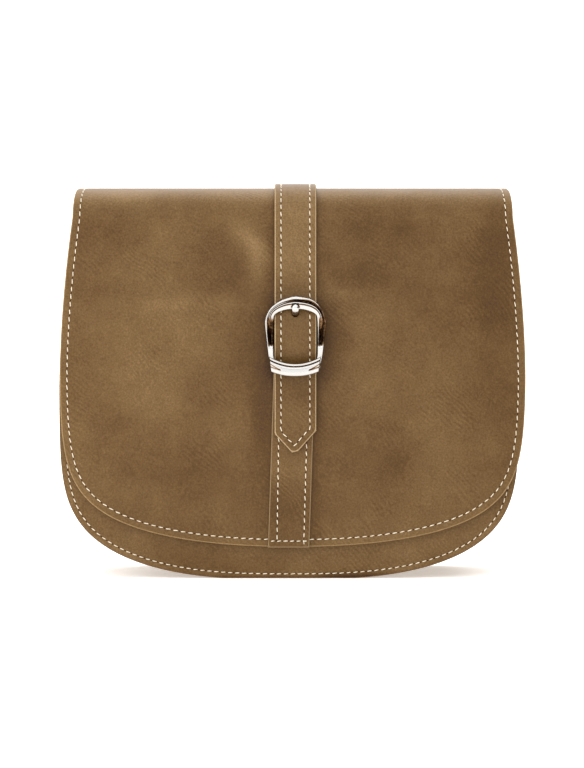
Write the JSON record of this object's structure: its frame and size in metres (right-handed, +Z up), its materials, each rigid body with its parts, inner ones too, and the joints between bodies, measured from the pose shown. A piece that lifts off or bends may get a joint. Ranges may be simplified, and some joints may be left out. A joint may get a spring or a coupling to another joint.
{
  "type": "crossbody saddle bag",
  "caption": "Small tan leather saddle bag with a round base, a full front flap and a closure strap fastened in a cast buckle.",
  "frame": {"origin": "on the surface the bag stands on, under the middle of its bounding box", "axes": "+Z up, -Y towards the front with the flap and buckle, +X to the right seen from the front"},
  "size_m": [0.2404, 0.0814, 0.2021],
  "materials": {
    "body_leather": "tan pull-up leather, soft satin with darker and paler patches",
    "strap_leather": "smooth tan leather, slightly glossier than the body",
    "nickel": "polished pale nickel plating"
  },
  "bodies": {
    "root": {"front_panel": "body_leather", "back_panel": "body_leather", "gusset": "body_leather", "flap": "body_leather", "closure_strap": "strap_leather", "base_strap": "strap_leather", "buckle_frame": "nickel", "buckle_prong": "nickel"}
  },
  "joints": []
}
